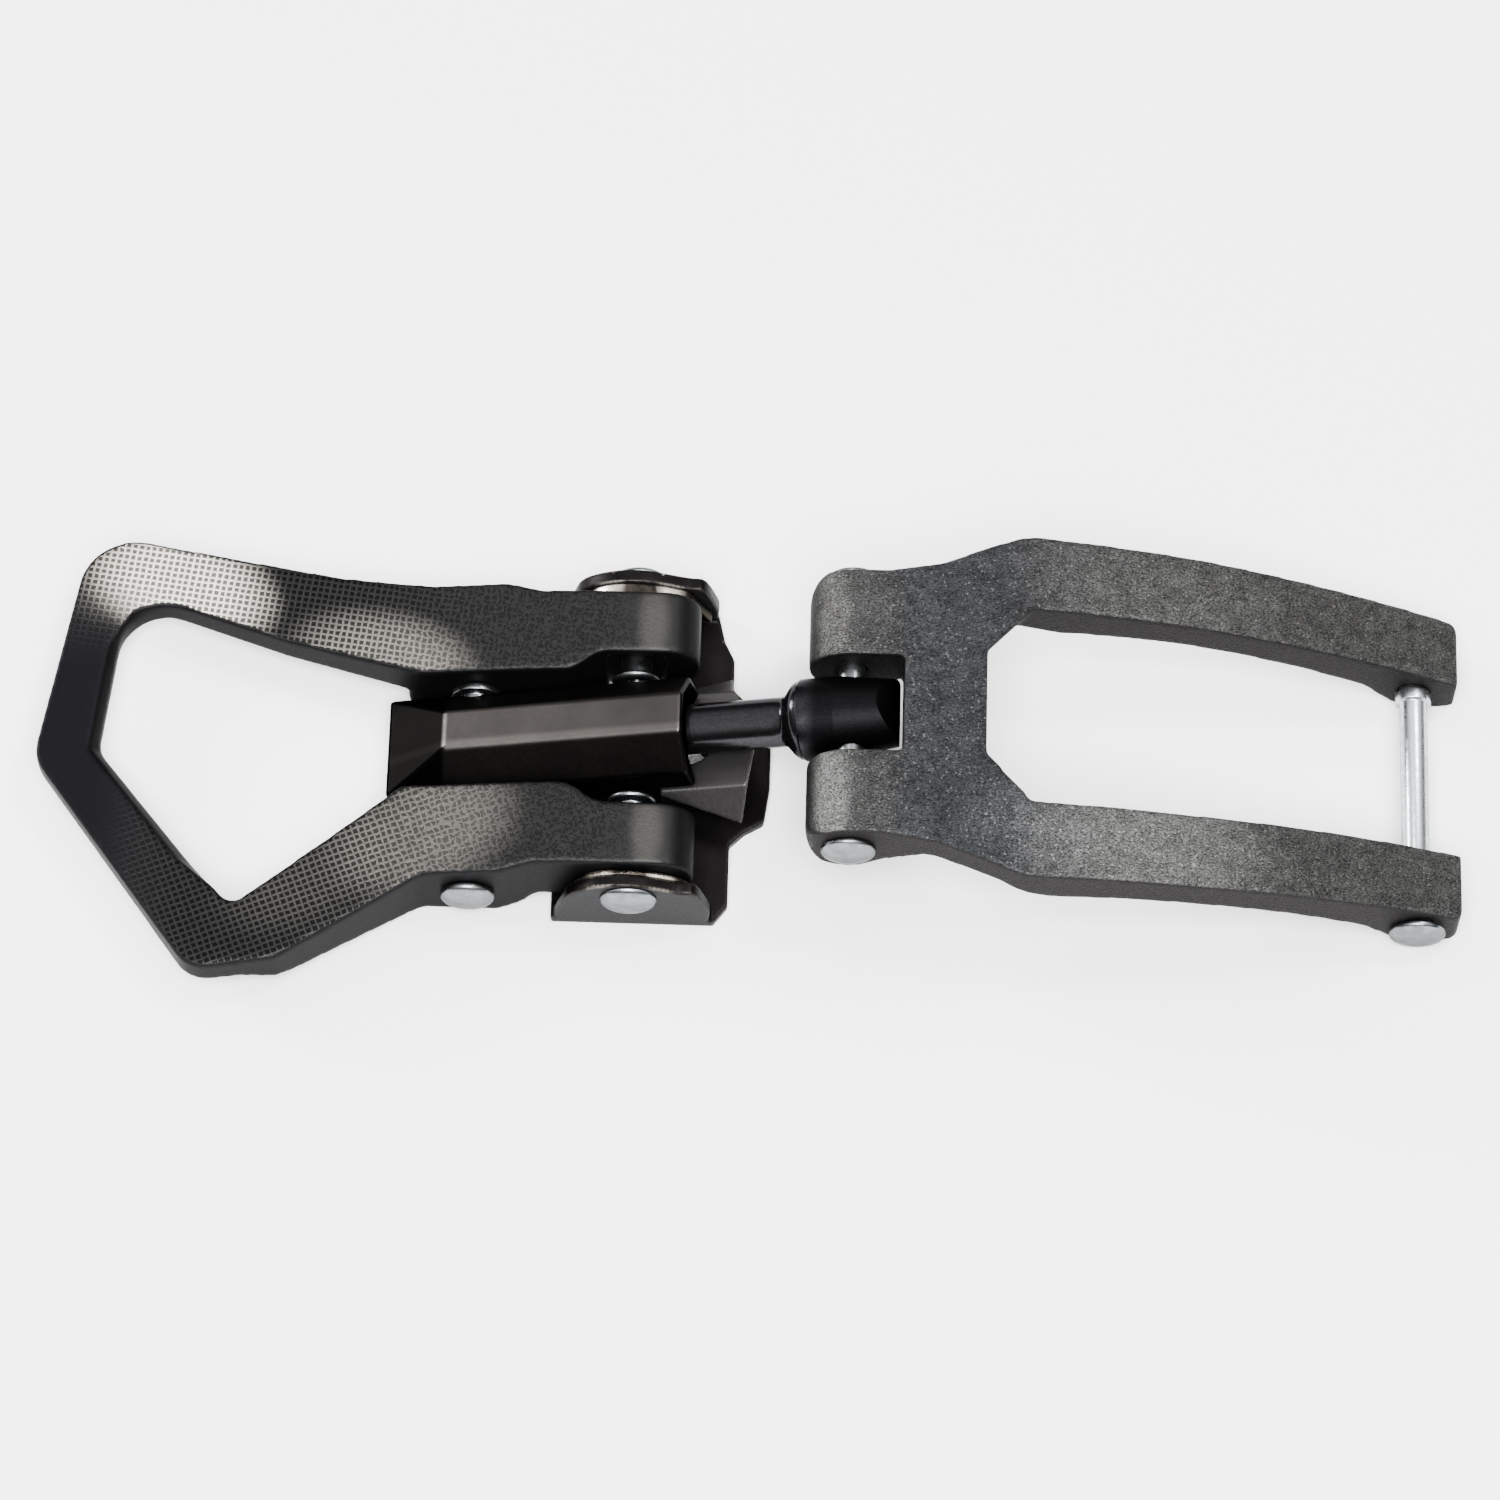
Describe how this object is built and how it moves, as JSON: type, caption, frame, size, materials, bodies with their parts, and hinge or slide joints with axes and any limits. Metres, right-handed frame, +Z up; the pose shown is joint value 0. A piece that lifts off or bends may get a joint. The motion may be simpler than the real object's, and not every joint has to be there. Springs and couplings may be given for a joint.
{
  "type": "over-centre lever buckle",
  "caption": "Over-centre lever buckle: a looped lever on a flat base pulls a screw-adjusted rod with a forked yoke and a catch pin.",
  "frame": {"origin": "on the base's underside, midway between the ears and directly below the lever's pivot", "axes": "+X along the pull, from the lever's loop to the catch pin; +Y across; +Z up, away from the mounting surface"},
  "size_m": [0.1423, 0.0466, 0.0185],
  "materials": {
    "lever_coat": "dark graphite coat with a woven relief on the loop",
    "yoke_coat": "grainy gunmetal powder coat",
    "housing_coat": "satin black",
    "rod_black": "gloss black",
    "base_steel": "satin black, worn bright along the edges of the ears",
    "zinc_steel": "bright zinc-plated steel",
    "shim_steel": "plain steel, slightly bronzed"
  },
  "bodies": {
    "base": {"base_plate": "base_steel", "guide_saddle": "base_steel", "pivot_rivet_left": "zinc_steel", "pivot_rivet_right": "zinc_steel", "ear_shim_left": "shim_steel", "ear_shim_right": "shim_steel"},
    "lever": {"lever": "lever_coat"},
    "link": {"link_housing": "housing_coat", "thread_nut": "zinc_steel", "link_pin_left": "zinc_steel", "link_pin_right": "zinc_steel"},
    "stop": {"end_stop": "zinc_steel"},
    "rod": {"draw_rod": "rod_black"},
    "yoke": {"yoke": "yoke_coat", "yoke_pin": "zinc_steel", "catch_pin": "zinc_steel"}
  },
  "joints": [
    {"name": "lever_swing", "type": "hinge", "parent": "base", "child": "lever", "pos_m": [0, 0, 0.0064], "axis": [0, 1, 0], "range_deg": [0, 120]},
    {"name": "link_swing", "type": "hinge", "parent": "lever", "child": "link", "pos_m": [-0.016, 0, 0.0042], "axis": [0, 1, 0], "range_deg": [-120, 0]},
    {"name": "screw_travel", "type": "slide", "parent": "link", "child": "stop", "axis": [0.9681, 0, 0.2504], "range_m": [0, 0.008]},
    {"name": "screw_turn", "type": "hinge", "parent": "stop", "child": "rod", "pos_m": [-0.016, 0, 0.0042], "axis": [0.9681, 0, 0.2504], "range_deg": [0, 3600]},
    {"name": "yoke_swing", "type": "hinge", "parent": "rod", "child": "yoke", "pos_m": [0.0215, 0, 0.0139], "axis": [0, 1, 0], "range_deg": [-75, 25]}
  ],
  "couplings": [
    {"joint": "link_swing", "follows": "lever_swing", "ratio": -1},
    {"joint": "screw_turn", "follows": "screw_travel", "rad_per_m": 7854}
  ]
}
